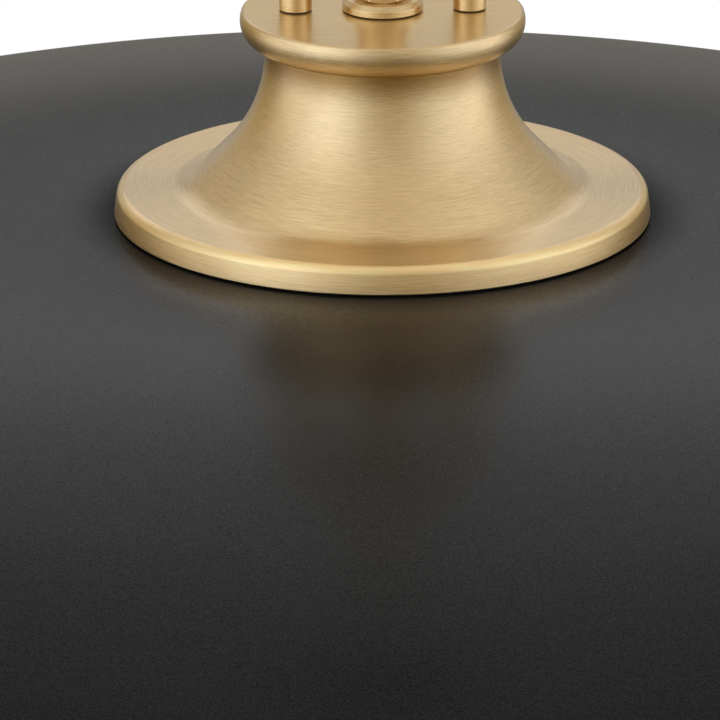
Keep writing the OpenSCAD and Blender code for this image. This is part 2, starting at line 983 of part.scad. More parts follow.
module lamp_bulb(i) {
    color(white)
        at_lamp(i)
            rotate_extrude()
                difference() {
                    bulb_section(0);
                    bulb_section(bulb_wall);
                }
}

mounting_strap();
strap_nipple();
strap_locknut();
earth_screw();
canopy();
swivel_spindle();
spindle_retainer();
swivel_clevis();
pivot_screw();
pivot_nut();
pivot_washers();
swivel_tongue();
upper_stem();
stem_coupling();
lower_stem();
stem_socket();
yoke_bar();
left_post();
right_post();
bar_screws();
foot_screws();
pipe_sleeve();
center_pipe();
pipe_nut();
pipe_washer();
washer_seal();
brass_cap();
flange_gasket();
dome_shade();
backing_plate();
shade_locknut();
cluster_ball();
cluster_cover();
finial();
for (i = [0 : lamp_count - 1]) {
    holder_shell(i);
    holder_core(i);
    screw_shell(i);
    center_contact(i);
    lamp_tip(i);
    lamp_cap(i);
    lamp_bulb(i);
}
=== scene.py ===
import math

import bpy
from mathutils import Matrix, Vector


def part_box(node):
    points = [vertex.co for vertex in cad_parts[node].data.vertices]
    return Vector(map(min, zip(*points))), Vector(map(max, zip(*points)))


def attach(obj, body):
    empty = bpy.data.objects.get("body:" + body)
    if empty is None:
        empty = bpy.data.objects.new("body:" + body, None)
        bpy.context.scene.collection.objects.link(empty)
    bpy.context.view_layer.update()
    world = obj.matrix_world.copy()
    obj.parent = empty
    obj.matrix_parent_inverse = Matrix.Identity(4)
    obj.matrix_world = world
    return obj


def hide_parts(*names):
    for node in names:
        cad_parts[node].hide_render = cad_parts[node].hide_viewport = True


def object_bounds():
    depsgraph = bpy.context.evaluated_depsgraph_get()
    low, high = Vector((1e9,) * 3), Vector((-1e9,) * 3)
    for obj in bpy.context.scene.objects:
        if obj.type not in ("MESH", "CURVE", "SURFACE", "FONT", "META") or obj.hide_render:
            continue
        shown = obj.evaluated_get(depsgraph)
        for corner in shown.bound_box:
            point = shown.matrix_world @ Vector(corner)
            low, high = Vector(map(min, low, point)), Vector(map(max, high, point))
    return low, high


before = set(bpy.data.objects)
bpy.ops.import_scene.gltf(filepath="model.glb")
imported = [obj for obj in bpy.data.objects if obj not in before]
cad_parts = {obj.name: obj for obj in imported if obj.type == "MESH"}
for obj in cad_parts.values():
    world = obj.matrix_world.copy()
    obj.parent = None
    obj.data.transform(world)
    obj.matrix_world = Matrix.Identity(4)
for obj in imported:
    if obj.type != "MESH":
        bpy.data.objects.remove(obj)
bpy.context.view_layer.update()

scene = bpy.context.scene
mm = 0.001


# Node helpers

def feed(tree, value, socket):
    if isinstance(value, bpy.types.NodeSocket):
        tree.links.new(value, socket)
    else:
        socket.default_value = value


def add(tree, kind, inputs=None, **settings):
    made = tree.nodes.new(kind)
    for key, value in settings.items():
        setattr(made, key, value)
    for key, value in (inputs or {}).items():
        feed(tree, value, made.inputs[key])
    return made


def calc(tree, operation, a, b=0.0):
    return add(tree, "ShaderNodeMath", {0: a, 1: b}, operation=operation).outputs[0]


def times(tree, a, b):
    return calc(tree, "MULTIPLY", a, b)


def vector(tree, operation, a, b):
    return add(tree, "ShaderNodeVectorMath", {0: a, 1: b}, operation=operation).outputs[0]


def split(tree, value):
    return add(tree, "ShaderNodeSeparateXYZ", {"Vector": value}).outputs


def spread(tree, value, low, high, fromLow=0.0, fromHigh=1.0, **settings):
    made = add(tree, "ShaderNodeMapRange", {
        "Value": value, "From Min": fromLow, "From Max": fromHigh, "To Min": low, "To Max": high}, **settings)
    return made.outputs["Result"]


def ease(tree, value, low, high, start=0.0, end=1.0):
    return spread(tree, value, start, end, low * mm, high * mm, interpolation_type="SMOOTHSTEP")


def tint(tree, amount, a, b):
    # The node's colours share their names with sockets of other types
    made = add(tree, "ShaderNodeMix", {"Factor": amount}, data_type="RGBA")
    for socket in made.inputs:
        if socket.type == "RGBA":
            value = a if socket.name == "A" else b
            feed(tree, (*value, 1) if isinstance(value, tuple) else value, socket)
    return next(s for s in made.outputs if s.type == "RGBA")


def noise(tree, place, scale, detail=2.0, rough=0.5):
    return add(tree, "ShaderNodeTexNoise", {
        "Vector": place, "Scale": scale, "Detail": detail, "Roughness": rough}).outputs["Fac"]


def bump(tree, height, strength, distance, normal=None):
    inputs = {"Height": height, "Strength": strength, "Distance": distance * mm}
    if normal is not None:
        inputs["Normal"] = normal
    return add(tree, "ShaderNodeBump", inputs).outputs["Normal"]


def objectPlace(tree):
    return add(tree, "ShaderNodeTexCoord").outputs["Object"]


def easedEdges(tree, reach):
    return add(tree, "ShaderNodeBevel", {"Radius": reach * mm}, samples=6).outputs[0]


def radius(tree, place):
    flat = vector(tree, "MULTIPLY", place, (1, 1, 0))
    return add(tree, "ShaderNodeVectorMath", {0: flat}, operation="LENGTH").outputs["Value"]


def mixShader(tree, amount, a, b):
    return add(tree, "ShaderNodeMixShader", {0: amount, 1: a, 2: b}).outputs[0]


def material(name, build, **sockets):
    made = bpy.data.materials.new(name)
    made.use_nodes = True
    tree = made.node_tree
    tree.nodes.clear()
    sockets |= build(tree)
    surface = add(tree, "ShaderNodeBsdfPrincipled", sockets)
    add(tree, "ShaderNodeOutputMaterial", {"Surface": surface.outputs[0]})
    return made


# Materials

noiseSpan = (0.3, 0.7)  # the usual reach of a noise
brush = {"coarse": 1.0, "fine": 2.7, "cloud": 28.0, "span": (0.39, 0.61), "smoother": 0.015, "duller": 0.02,
         "depth": 0.02}
levelBrush = {"streaks": 60, "span": (0.28, 0.72), "eased": 0.35}
skin = {"gloss": 0.03, "drift": 0.015, "clouds": 9.0, "depth": 0.05, "speckle": (0.45, 1.55),
        "level": (0.05, 0.5)}


def brushed(look):
    # Fine lines run round a turned piece, or straight along X on a flat face
    def build(tree):
        uv = split(tree, add(tree, "ShaderNodeUVMap", uv_map="turned").outputs["UV"])
        across = times(tree, uv["Y"], look["lines"] / mm)
        if look.get("flat"):
            ways = {"X": times(tree, uv["X"], look["streaks"]), "Y": across}
        else:
            turn = times(tree, uv["X"], math.tau)
            ways = {"X": times(tree, calc(tree, "COSINE", turn), look["streaks"]),
                    "Y": times(tree, calc(tree, "SINE", turn), look["streaks"]),
                    "Z": across}
        along = add(tree, "ShaderNodeCombineXYZ", ways).outputs[0]
        coarse = noise(tree, along, brush["coarse"], detail=3.0, rough=0.6)
        fine = noise(tree, along, brush["fine"])
        lines = times(tree, calc(tree, "ADD", coarse, fine), 0.5)
        place = objectPlace(tree)
        cloud = noise(tree, place, brush["cloud"], detail=3.0)
        smooth, dull = look["rough"] - brush["smoother"], look["rough"] + brush["duller"]
        worn = spread(tree, cloud, smooth, dull, *noiseSpan)
        rough = calc(tree, "ADD", spread(tree, lines, -look["grain"], look["grain"], *noiseSpan), worn)
        color = tint(tree, spread(tree, lines, 0, 1, *brush["span"]), look["dark"], look["color"])
        if "paintedShadeBand" in look:
            # Painted shade: darker just under the collar, where its shadow falls; and a painted highlight:
            # lighter on the crest of the flange
            height = split(tree, place)["Z"]
            foot, low, high, top = look["paintedShadeBand"]
            paintedShade = times(tree, ease(tree, height, foot, low), ease(tree, height, high, top, 1, 0))
            # Painted highlight: the colour is lifted on the crest of the flange
            rim, crest = look["crest"]
            paintedHighlight = times(tree, ease(tree, height, *crest), ease(tree, radius(tree, place), *rim))
            for amount, tone in ((paintedShade, look["deep"]), (paintedHighlight, look["bright"])):
                color = vector(tree, "MULTIPLY", color, tint(tree, amount, (1, 1, 1), tone))
        tangent = add(tree, "ShaderNodeTangent", direction_type="UV_MAP", uv_map="turned").outputs[0]
        return {"Base Color": color, "Roughness": rough, "Tangent": tangent,
                "Normal": bump(tree, lines, look["bump"], brush["depth"])}
    return build


def cadBrushed(look):
    # The same finish on a piece that keeps its own mesh, with level lines and eased edges
    def build(tree):
        scale = (levelBrush["streaks"], levelBrush["streaks"], look["lines"] / mm)
        along = add(tree, "ShaderNodeMapping", {"Vector": objectPlace(tree), "Scale": scale}).outputs[0]
        lines = noise(tree, along, brush["coarse"], detail=4.0, rough=0.65)
        amount = spread(tree, lines, 0, 1, *levelBrush["span"])
        smooth, dull = look["rough"] - look["grain"], look["rough"] + look["grain"]
        return {
            "Base Color": tint(tree, amount, look["dark"], look["color"]),
            "Roughness": spread(tree, lines, smooth, dull, *noiseSpan),
            "Normal": bump(tree, lines, look["bump"], brush["depth"], easedEdges(tree, levelBrush["eased"]))}
    return build


def coated(look):
    # Paint, plastic or glass: a fine skin texture with a slow drift in tone and gloss
    def build(tree):
        place = objectPlace(tree)
        grain = noise(tree, place, 1 / (look["cell"] * mm))
        drift = noise(tree, place, look.get("drift", skin["clouds"]), detail=3.0)
        rough = spread(tree, drift, look["rough"] - skin["drift"], look["rough"] + skin["drift"], *noiseSpan)
        gloss = spread(tree, grain, -skin["gloss"], skin["gloss"], *noiseSpan)
        eased = easedEdges(tree, look["eased"]) if "eased" in look else None
        made = {
            "Base Color": tint(tree, spread(tree, drift, 0, 1, *noiseSpan), look["dark"], look["color"]),
            "Roughness": calc(tree, "ADD", gloss, rough),
            "Normal": bump(tree, grain, look["bump"], skin["depth"], eased)}
        if "dull" in look:
            # Painted shade: the gloss fades close round the foot of the cap, a contact shadow painted into
            # the paint's reflection
            fade = ease(tree, radius(tree, place), *look["dull"], *skin["level"])
            made["Specular IOR Level"] = times(tree, spread(tree, grain, *skin["speckle"], *noiseSpan), fade)
        return made
    return build


brassLook = {"color": (0.905, 0.647, 0.302), "dark": (0.675, 0.460, 0.192), "rough": 0.37, "grain": 0.05,
             "lines": 3.6, "streaks": 5.0, "bump": 0.2}
lacquer = {"Metallic": 1.0, "Coat Weight": 1.0, "Coat Roughness": 0.25, "Coat IOR": 1.6,
           "Anisotropic Rotation": 0.25}
brass = material("satinBrass", brushed(brassLook), Anisotropic=0.85, **lacquer)
# The cap's brass carries painted shade under the collar and a painted highlight on the flange's crest
capBrass = material("satinBrassCap", brushed(brassLook | {
    "paintedShadeBand": (-648.4, -639.4, -638.4, -635.4), "deep": (0.55, 0.42, 0.14),
    "crest": ((74.0, 75.4), (-690.0, -681.6)), "bright": (1.42, 1.30, 1.24)}), Anisotropic=0.85, **lacquer)
# Level faces take a darker copy of the brass with straight lines: painted shade that dims the reflections on
# the flat tops
brassFlatShaded = material("satinBrassFlatShaded", brushed(brassLook | {
    "flat": True, "rough": 0.34, "streaks": 20.0, "color": (0.84, 0.588, 0.235),
    "dark": (0.63, 0.418, 0.148)}), Anisotropic=0.85, **lacquer)
brassCad = material("satinBrassSolid", cadBrushed(brassLook), **lacquer)
bareBrass = material("rolledBrass", brushed({
    "color": (0.86, 0.66, 0.33), "dark": (0.78, 0.58, 0.27), "rough": 0.22, "grain": 0.04, "lines": 1.5,
    "streaks": 3.0, "bump": 0.05}), Metallic=1.0)
blackLook = {"color": (0.0062, 0.0060, 0.0058), "dark": (0.0052, 0.0050, 0.0048), "rough": 0.25, "cell": 0.5,
             "bump": 0.4}
# The shade's black paint carries a painted contact shadow round the foot of the cap
shadeBlack = material("blackPowderCoatShade", coated(blackLook | {"dull": (76, 95), "bump": 0.6}), IOR=1.26)
black = material("blackPowderCoat", coated(blackLook), IOR=1.26)
blackCad = material("blackPowderCoatSolid", coated(blackLook | {"eased": 0.4}), IOR=1.3)
enamel = material("whiteEnamel", coated({
    "color": (0.80, 0.79, 0.755), "dark": (0.77, 0.755, 0.72), "rough": 0.42, "cell": 0.9, "bump": 0.06}))
zinc = material("zincPlate", coated({
    "color": (0.63, 0.635, 0.63), "dark": (0.52, 0.525, 0.53), "rough": 0.34, "cell": 0.7, "drift": 160.0,
    "bump": 0.08, "eased": 0.25}), Metallic=1.0)
green = material("greenZinc", coated({
    "color": (0.10, 0.33, 0.15), "dark": (0.06, 0.25, 0.11), "rough": 0.36, "cell": 0.5, "drift": 200.0,
    "bump": 0.08}), Metallic=0.6)
rubber = material("blackRubber", coated({
    "color": (0.022, 0.021, 0.02), "dark": (0.015, 0.015, 0.015), "rough": 0.72, "cell": 0.25, "bump": 0.2}))
glaze = material("whiteGlaze", coated({
    "color": (0.86, 0.84, 0.78), "dark": (0.82, 0.80, 0.74), "rough": 0.18, "cell": 1.6, "bump": 0.05}))
vitrite = material("darkGlass", coated({
    "color": (0.035, 0.02, 0.035), "dark": (0.02, 0.012, 0.022), "rough": 0.16, "cell": 0.8, "bump": 0.05}))
lampMetal = material("rolledAluminium", brushed({
    "color": (0.80, 0.80, 0.79), "dark": (0.70, 0.70, 0.70), "rough": 0.27, "grain": 0.04, "lines": 1.2,
    "streaks": 3.0, "bump": 0.06}), Metallic=1.0)
opal = material("opalGlass", coated({
    "color": (0.90, 0.89, 0.86), "dark": (0.87, 0.86, 0.83), "rough": 0.14, "cell": 3.0, "bump": 0.02}),
    **{"Subsurface Weight": 0.35, "Subsurface Radius": (0.004, 0.0036, 0.003), "Subsurface Scale": 1.0})
print("stage: materials")


# Turned pieces. An outline is a closed loop of (radius, height, fillet) corners and arcs in millimetres,
# drawn with the metal on its left

facets = {"gap": 0.012, "coarsest": 0.5, "fewest": 4, "most": 90}
poleRadius = 1e-6
shortest = 1e-5
levelUp = 1.999  # both normals of a level stretch point up, and they add up to 2


def arc(center, radius, start, end):
    return {"center": center, "radius": radius, "start": start, "end": end}


def onArc(a, angle):
    t = math.radians(angle)
    return a["center"][0] + a["radius"] * math.cos(t), a["center"][1] + a["radius"] * math.sin(t)


def arcRun(a):
    turn = a["end"] - a["start"]
    finest = 2 * math.degrees(math.acos(max(facets["coarsest"], 1 - facets["gap"] / a["radius"])))
    count = max(facets["fewest"], min(facets["most"], math.ceil(abs(turn) / finest)))
    side = 1 if turn > 0 else -1
    run = []
    for i in range(count + 1):
        angle = a["start"] + turn * i / count
        t = math.radians(angle)
        run.append((*onArc(a, angle), side * math.cos(t), side * math.sin(t)))
    return run


def corner(before, here, after):
    # The arc that rounds a corner, or nothing where it stays sharp
    if len(here) < 3 or here[2] <= 0:
        return None
    p = Vector(here[:2])
    a = (Vector(before) - p).normalized()
    b = (Vector(after) - p).normalized()
    half = a.angle(b) / 2
    reach = here[2] / math.tan(half)
    center = p + (a + b).normalized() * (here[2] / math.sin(half))
    first, last = p + a * reach - center, p + b * reach - center
    start = math.degrees(math.atan2(first.y, first.x))
    end = math.degrees(math.atan2(last.y, last.x))
    turn = (end - start + 180) % 360 - 180
    return arc(tuple(center), here[2], start, start + turn)


def ends(shape):
    if isinstance(shape, dict):
        return onArc(shape, shape["start"]), onArc(shape, shape["end"])
    return shape[:2], shape[:2]


def trace(outline):
    # Smooth runs of points, each with its normal
    shapes = []
    for i, shape in enumerate(outline):
        if isinstance(shape, tuple):
            before, after = outline[i - 1], outline[(i + 1) % len(outline)]
            shape = corner(ends(before)[1], shape, ends(after)[0]) or shape[:2]
        shapes.append(shape)
    runs = []
    for i, shape in enumerate(shapes):
        following = shapes[(i + 1) % len(shapes)]
        if isinstance(shape, dict):
            runs.append(arcRun(shape))
        a, b = ends(shape)[1], ends(following)[0]
        step = Vector(b) - Vector(a)
        if step.length > shortest:
            step.normalize()
            runs.append([(*a, step.y, -step.x), (*b, step.y, -step.x)])
    return runs


def linked(name, data):
    made = bpy.data.objects.new(name, data)
    scene.collection.objects.link(made)
    return made


def lathe(name, outline, steps=96, paint=None, place=None, straight=None):
    # A closed mesh turned about Z, with exact normals and a map of turns and outline length.
    # Faces that are painted with the straight coat are mapped flat
    place = place or Matrix.Identity(4)
    spin = place.to_3x3()
    angles = [math.tau * j / steps + math.pi / 2 for j in range(steps)]
    dirs = [(math.cos(t), math.sin(t)) for t in angles]
    verts, faces, normals, uvs, index = [], [], [], [], []
    rings = {}

    def ring(r, z):
        key = (round(r, 4), round(z, 4))
        if key not in rings:
            rings[key] = (len(verts), r < poleRadius)
            if r < poleRadius:
                verts.append(place @ Vector((0, 0, z * mm)))
            else:
                verts.extend(place @ Vector((r * c * mm, r * s * mm, z * mm)) for c, s in dirs)
        return rings[key]

    travelled = 0.0
    for run in trace(outline):
        for (r0, z0, nr0, nz0), (r1, z1, nr1, nz1) in zip(run, run[1:]):
            length = math.hypot(r1 - r0, z1 - z0)
            if r0 < poleRadius and r1 < poleRadius:
                continue
            a, aPole = ring(r0, z0)
            b, bPole = ring(r1, z1)
            coat = paint((r0 + r1) / 2, (z0 + z1) / 2, nr0 + nr1, nz0 + nz1) if paint else 0
            for j in range(steps):
                k = (j + 1) % steps
                loop = [(a, aPole, j, j), (a, aPole, k, j + 1), (b, bPole, k, j + 1), (b, bPole, j, j)]
                if aPole:
                    loop.pop(0)
                if bPole:
                    loop.pop()
                faces.append([base + (0 if pole else col) for base, pole, col, _ in loop])
                index.append(coat)
                for base, _, col, turn in loop:
                    c, s = dirs[col]
                    isEnd = base == b and base != a
                    r, nr, nz = (r1, nr1, nz1) if isEnd else (r0, nr0, nz0)
                    normals.append(spin @ Vector((nr * c, nr * s, nz)))
                    if coat == straight:
                        uvs.extend((r * c * mm, r * s * mm))
                    else:
                        uvs.extend((turn / steps, (travelled + (length if isEnd else 0)) * mm))
            travelled += length
    mesh = bpy.data.meshes.new(name)
    mesh.from_pydata(verts, [], faces)
    mesh.uv_layers.new(name="turned").data.foreach_set("uv", uvs)
    mesh.polygons.foreach_set("use_smooth", [True] * len(faces))
    mesh.polygons.foreach_set("material_index", index)
    mesh.normals_split_custom_set(normals)
    mesh.update()
    return linked(name, mesh)


def edged(name, verts, faces, mapped, sharp):
    # A smooth mesh that is sharp where its faces meet at more than an angle
    mesh = bpy.data.meshes.new(name)
    mesh.from_pydata(verts, [], faces)
    uv = mesh.uv_layers.new(name="turned").data
    for loop in mesh.loops:
        uv[loop.index].uv = mapped(mesh.vertices[loop.vertex_index].co)
    mesh.polygons.foreach_set("use_smooth", [True] * len(faces))
    mesh.set_sharp_from_angle(angle=math.radians(sharp))
    mesh.update()
    return linked(name, mesh)


def polar(name, rings, steps, place):
    # A closed mesh whose rings give a radius and a height for each angle; a radius of 0 closes an end
    verts, faces, starts = [], [], []
    for rule in rings:
        starts.append((len(verts), rule(0)[0] < poleRadius))
        if starts[-1][1]:
            verts.append(place @ Vector((0, 0, rule(0)[1] * mm)))
            continue
        for j in range(steps):
            t = math.tau * j / steps
            r, z = rule(t)
            verts.append(place @ Vector((r * math.cos(t) * mm, r * math.sin(t) * mm, z * mm)))
    closed = not (starts[0][1] and starts[-1][1])
    for i in range(len(rings) - (0 if closed else 1)):
        a, aPole = starts[i]
        b, bPole = starts[(i + 1) % len(rings)]
        for j in range(steps):
            k = (j + 1) % steps
            loop = [a] if aPole else [a + j, a + k]
            loop += [b] if bPole else [b + k, b + j]
            faces.append(loop)
    inward = place.inverted()

    def mapped(point):
        p = inward @ point
        return math.atan2(p.y, p.x) / math.tau, p.z + p.xy.length

    return edged(name, verts, faces, mapped, sharp=28)


def piece(made, body, slot, nodes, *coats):
    for coat in coats:
        made.data.materials.append(coat)
    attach(made, body)
    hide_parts(*nodes)
    return made


def level(node):
    low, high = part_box(node)
    return low.z / mm, high.z / mm


def at(x, y, z):
    return Matrix.Translation((x * mm, y * mm, z * mm))


def tube(outer, inner, low, high, edge):
    return [(inner, low, edge / 2), (outer, low, edge), (outer, high, edge), (inner, high, edge / 2)]


def plainTube(name, node, size, steps, body, slot, coat):
    made = lathe(name, tube(size["r"], size["bore"], *level(node), size["edge"]), steps)
    return piece(made, body, slot, [node], coat)


def hexReach(flat, t):
    return flat / math.cos(t % (math.pi / 3) - math.pi / 6)


nutForm = {"face": 0.97, "corner": 1.135, "chamfer": 30.0, "lip": 0.4}  # two shares, degrees, mm


def hexNut(name, size, place):
    flat = size["across"] / 2
    face = nutForm["face"] * flat
    slope = math.tan(math.radians(nutForm["chamfer"]))
    height, bore, lip = size["height"], size["bore"], nutForm["lip"]

    def side(t):
        return min(hexReach(flat, t), flat * nutForm["corner"])

    def cut(t):
        return (side(t) - face) * slope

    return polar(name, [
        lambda t: (bore, lip),
        lambda t: (bore + lip, 0),
        lambda t: (face, 0),
        lambda t: (side(t), cut(t)),
        lambda t: (side(t), height - cut(t)),
        lambda t: (face, height),
        lambda t: (bore + lip, height),
        lambda t: (bore, height - lip)], 180, place)


buttonForm = {"tip": 0.3, "lip": 0.2, "flare": 1.06, "sink": 0.55,
              "shares": (0.995, 0.96, 0.9, 0.82, 0.72, 0.62, 0.52)}


def buttonScrew(name, size, place):
    # A domed head with a hex socket and a plain shank, along +Z from the seat
    r, height, shank, end = size["r"], size["height"], size["shank"], -size["length"]
    bend = (r ** 2 + height ** 2) / (2 * height)
    tip = buttonForm["tip"]

    def crown(reach):
        return reach, height - bend + math.sqrt(bend ** 2 - reach ** 2)

    def key(t):
        return hexReach(size["socket"], t)

    rings = [lambda t: (0, end),
             lambda t: (shank - tip, end),
             lambda t: (shank, end + tip),
             lambda t: (shank, 0),
             lambda t: (r - buttonForm["lip"], 0)]
    rings += [lambda t, share=share: crown(r * share) for share in buttonForm["shares"]]
    rings += [lambda t: crown(key(t) * buttonForm["flare"]),
              lambda t: (key(t), height - buttonForm["sink"]),
              lambda t: (key(t), height - size["depth"]),
              lambda t: (0, height - size["depth"])]
    return polar(name, rings, 120, place)


# Shade: a spun dome, black outside and enamelled inside, with a rolled rim

crownTop = level("dome_shade")[1]
shade = {"radius": 360.0, "wall": 1.5, "flat": 100.0, "crown": 644.0, "crownEnd": 12.0, "haunch": 300.0,
         "haunchEnd": 24.0, "skirt": 46.0, "rim": 3.5, "hole": 5.35, "enamel": 358.6, "under": -0.02,
         "inward": -0.5}
crownC = Vector((shade["flat"], -shade["crown"]))


def lean(angle):
    return Vector((math.sin(math.radians(angle)), math.cos(math.radians(angle))))


haunchC = crownC + lean(shade["crownEnd"]) * (shade["crown"] - shade["haunch"])
haunchEnd = haunchC + lean(shade["haunchEnd"]) * shade["haunch"]
shoulderR = (shade["radius"] - haunchEnd.x) / (1 - lean(shade["haunchEnd"]).x)
shoulderC = haunchEnd - lean(shade["haunchEnd"]) * shoulderR
rimZ = shoulderC.y - shade["skirt"]
rimC = (shade["radius"] - shade["wall"] + shade["rim"], rimZ)
rimMeets = math.degrees(math.acos((shade["wall"] - shade["rim"]) / shade["rim"]))


def shadeSkin(inset, outward):
    bends = [arc(shoulderC, shoulderR - inset, 0, 90 - shade["haunchEnd"]),
             arc(haunchC, shade["haunch"] - inset, 90 - shade["haunchEnd"], 90 - shade["crownEnd"]),
             arc(crownC, shade["crown"] - inset, 90 - shade["crownEnd"], 90)]
    if outward:
        return bends
    return [arc(b["center"], b["radius"], b["end"], b["start"]) for b in reversed(bends)]


def shadePaint(r, z, nr, nz):
    # Enamel on what faces down or inward, as far as the rolled rim
    isInner = (nz < shade["under"] and z > rimZ) or nr < shade["inward"]
    return int(isInner and r < shade["enamel"])


dome = lathe("domeShade", [
    arc(rimC, shade["rim"], 180, 360 + rimMeets),
    *shadeSkin(0, True),
    (shade["hole"], 0),
    (shade["hole"], -shade["wall"]),
    *shadeSkin(shade["wall"], False),
], 400, shadePaint, at(0, 0, crownTop))
piece(dome, "pendant", "black_paint", ["dome_shade"], shadeBlack, enamel)
plateSize = {"r": 75, "bore": 5.35, "edge": 0.5}
plainTube("backingPlate", "backing_plate", plateSize, 160, "pendant", "white_paint", enamel)
gasketSize = {"r": 76.5, "bore": 71.3, "edge": 0.2}
plainTube("flangeGasket", "flange_gasket", gasketSize, 160, "pendant", "black_rubber", rubber)
print("stage: shade")


# Brass cap: flange with a rounded edge, trumpet throat, neck, rounded collar and flat disc

flangeZ, discZ = level("brass_cap")
cap = {"flange": 77.3, "draft": 1.0, "edge": 7.9, "edgeRound": 2.7, "foot": 0.3, "throat": 42.2,
       "slope": 45.0, "fillet": 10.0, "neck": 33.7, "land": 1.46, "collar": 7.1, "top": 2.9, "crest": 0.55,
       "wall": 2.5, "innerFillet": 3.0, "disc": 3.5, "seat": 6.0, "hole": 5.35, "ease": 0.9}
tan, cos, sin = (f(math.radians(cap["slope"])) for f in (math.tan, math.cos, math.sin))
capTop = discZ - flangeZ
widest = capTop - cap["top"]
throatC = (cap["neck"] + cap["throat"], widest - cap["collar"] - cap["land"])
coneTop = (throatC[0] - cap["throat"] * cos, throatC[1] - cap["throat"] * sin)
coneFoot = coneTop[0] + (coneTop[1] - cap["edge"]) * tan
seatX = cap["flange"] - cap["seat"]
collarEnd = math.degrees(math.asin((cap["top"] - cap["crest"]) / cap["collar"]))
collarRim = cap["neck"] + cap["collar"] * math.cos(math.asin(cap["top"] / cap["collar"]))
brassCap = lathe("brassCap", [
    (cap["flange"], 0, cap["foot"]),
    (cap["flange"] - cap["draft"], cap["edge"], cap["edgeRound"]),
    (coneFoot, cap["edge"], cap["fillet"]),
    arc(throatC, cap["throat"], 180 + cap["slope"], 180),
    arc((cap["neck"], widest), cap["collar"], -90, collarEnd),
    (collarRim, capTop, cap["ease"]),
    (cap["hole"], capTop),
    (cap["hole"], capTop - cap["disc"]),
    (cap["neck"] - cap["wall"], capTop - cap["disc"]),
    arc(throatC, cap["throat"] + cap["wall"], 180, 180 + cap["slope"]),
    (coneFoot - cap["wall"], cap["edge"] - cap["wall"], cap["innerFillet"]),
    (seatX, cap["edge"] - cap["wall"]),
    (seatX, 0),
], 288, lambda r, z, nr, nz: int(nz > levelUp and z > widest), at(0, 0, flangeZ), straight=1)
piece(brassCap, "pendant", "satin_brass", ["brass_cap"], capBrass, brassFlatShaded)
print("stage: brass cap")


# Washer, seal and nuts on the center pipe

washerZ, washerTop = level("pipe_washer")
washer = {"r": 11.6, "side": 1.9, "chamfer": 1.35, "hole": 5.35, "foot": 0.3, "ease": 0.45, "lip": 0.2}
pipeWasher = lathe("pipeWasher", [
    (washer["r"], washerZ, washer["foot"]),
    (washer["r"], washerZ + washer["side"], washer["ease"]),
    (washer["r"] - washer["chamfer"], washerTop, washer["ease"]),
    (washer["hole"], washerTop, washer["lip"]),
    (washer["hole"], washerZ),
], 160, lambda r, z, nr, nz: int(nz > levelUp), straight=1)
piece(pipeWasher, "pendant", "satin_brass", ["pipe_washer"], brass, brassFlatShaded)
sealSize = {"r": 10.7, "bore": 5.35, "edge": 0.1}
plainTube("washerSeal", "washer_seal", sealSize, 96, "pendant", "black_rubber", rubber)
nut = {"across": 14.3, "height": 5.2, "bore": 5.2}
for name, node, body, slot, coat in (
        ("pipeNut", "pipe_nut", "pendant", "satin_brass", brass),
        ("shadeLocknut", "shade_locknut", "pendant", "zinc_steel", zinc),
        ("strapLocknut", "strap_locknut", "ceiling_mount", "zinc_steel", zinc)):
    piece(hexNut(name, nut, at(0, 0, level(node)[0])), body, slot, [node], coat)
print("stage: washer and nuts")


# Yoke: two posts under a round-ended bar, with button-head screws

post = {"r": 4.75, "x": 24.8, "foot": 0.4, "inset": 0.7, "lip": 0.25, "top": 0.3, "margin": 0.01}
for side, name, node in ((-1, "leftPost", "left_post"), (1, "rightPost", "right_post")):
    low, high = level(node)
    footTop = low + post["foot"]
    # The undercut foot takes the black rubber coat: painted shade for the shadow gap under the post
    made = lathe(name, [
        (0, low),
        (post["r"] - post["inset"], low),
        (post["r"] - post["inset"], footTop),
        (post["r"], footTop, post["lip"]),
        (post["r"], high, post["top"]),
        (0, high),
    ], 96, lambda r, z, nr, nz: int(z < footTop + post["margin"]), at(side * post["x"], 0, 0))
    piece(made, "pendant", "satin_brass", [node], brass, rubber)

bar = {"half": 24.8, "r": 10.0, "ease": 0.8, "bend": (0, 22.5, 45, 67.5, 90), "steps": 96}
barLow, barHigh = level("yoke_bar")


def barMesh():
    # Round-ended rings from the lower face to the upper one, drawn in along both edges
    angles = [math.radians(v) for v in bar["bend"]]
    eased = [(bar["ease"] * (1 - math.sin(a)), bar["ease"] * (1 - math.cos(a))) for a in angles]
    rings = [(inset, barLow + rise) for inset, rise in eased]
    rings += [(inset, barHigh - rise) for inset, rise in reversed(eased)]
    steps, verts, faces = bar["steps"], [], []
    for inset, z in rings:
        r = bar["r"] - inset
        for j in range(steps):
            t = math.tau * (j + 0.5) / steps
            x = math.copysign(bar["half"], math.cos(t)) + r * math.cos(t)
            verts.append((x * mm, r * math.sin(t) * mm, z * mm))
    for i in range(len(rings) - 1):
        for j in range(steps):
            k = (j + 1) % steps
            faces.append([i * steps + j, i * steps + k, (i + 1) * steps + k, (i + 1) * steps + j])
    faces.append(list(range(steps - 1, -1, -1)))
    faces.append([(len(rings) - 1) * steps + j for j in range(steps)])
    return edged("yokeBar", verts, faces, lambda p: (p.x, p.y + p.z), sharp=40)


def merge(name, parts):
    with bpy.context.temp_override(active_object=parts[0], selected_editable_objects=parts):
        bpy.ops.object.join()
    parts[0].name = name
    return parts[0]


